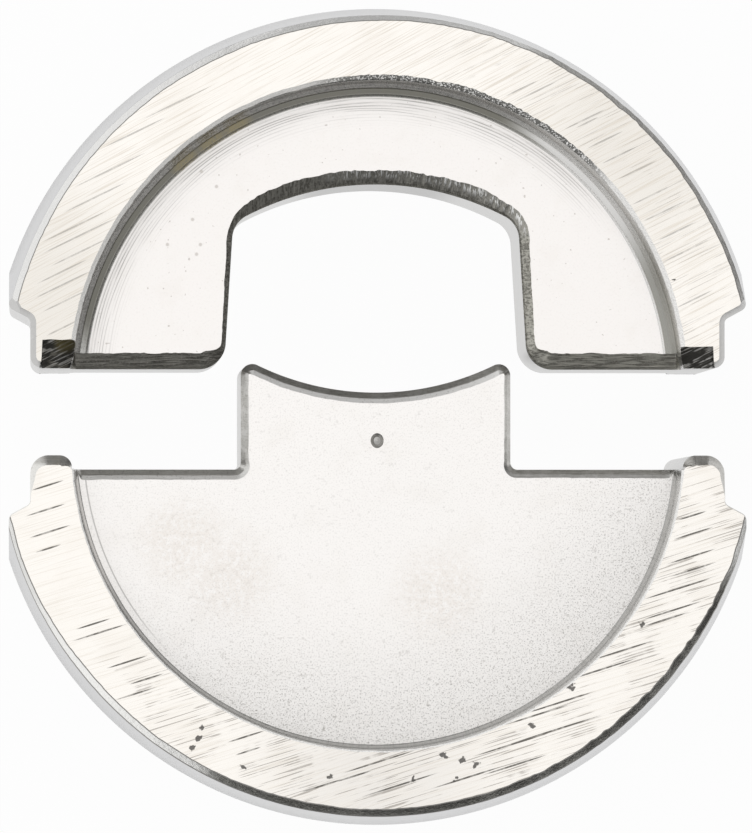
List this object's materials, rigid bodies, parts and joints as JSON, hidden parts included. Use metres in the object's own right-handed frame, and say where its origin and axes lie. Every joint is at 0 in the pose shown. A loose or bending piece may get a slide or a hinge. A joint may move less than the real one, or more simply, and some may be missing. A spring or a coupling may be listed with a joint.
{
  "type": "crimping die",
  "caption": "Pair of half-moon steel crimping dies, a nest half and a tongue half, that close on a connector in a compression tool.",
  "frame": {"origin": "under the middle of the pair as it lies on its back faces, with the gap of the picture between the halves", "axes": "+Z out of the front faces, along the dies' thickness; +Y the closing direction, from the lower half to the upper half; +X across the pair"},
  "size_m": [0.038, 0.0422, 0.015],
  "materials": {
    "plated_steel": "bright, ground rims and blasted webs"
  },
  "bodies": {
    "upper_half": {"upper_die_half": "plated_steel"},
    "lower_half": {"lower_die_half": "plated_steel"}
  },
  "joints": [
    {"name": "closing_stroke", "type": "slide", "parent": "upper_half", "child": "lower_half", "axis": [0, 1, 0], "range_m": [-0.0128, 0.00445]}
  ]
}
